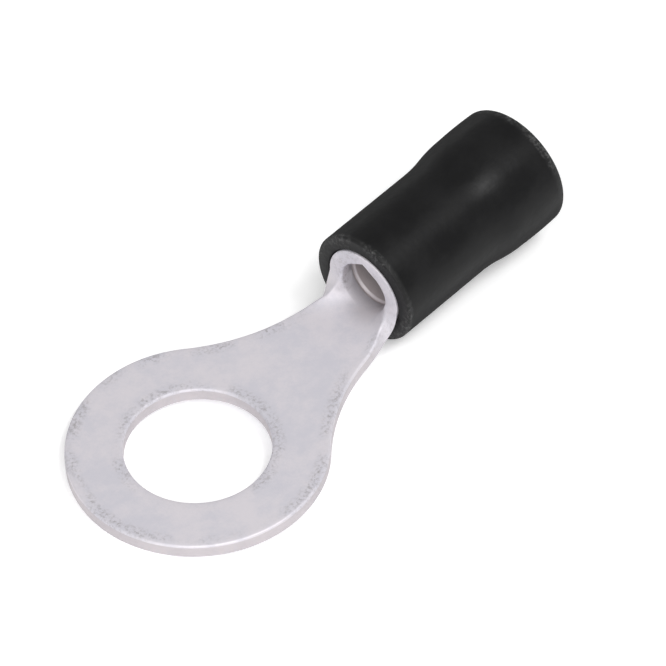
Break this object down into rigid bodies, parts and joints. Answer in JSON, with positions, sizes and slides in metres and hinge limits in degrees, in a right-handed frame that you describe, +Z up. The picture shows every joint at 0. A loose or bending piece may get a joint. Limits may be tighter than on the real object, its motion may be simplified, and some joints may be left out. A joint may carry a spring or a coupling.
{
  "type": "ring terminal",
  "caption": "Insulated ring terminal: a flat tinned ring and neck curled up into a brazed crimp barrel, inside a flared black vinyl sleeve.",
  "frame": {"origin": "centre of the stud hole on the underside of the ring", "axes": "+Z up through the stud hole, +X from the ring along the barrel to where the wire leaves, +Y across the ring"},
  "size_m": [0.0345, 0.015, 0.0078],
  "materials": {
    "tinned_copper": "satin electroplated tin over copper, faintly mottled",
    "black_vinyl": "smooth moulded vinyl with a soft sheen"
  },
  "bodies": {
    "root": {"terminal": "tinned_copper", "sleeve": "black_vinyl"}
  },
  "joints": []
}
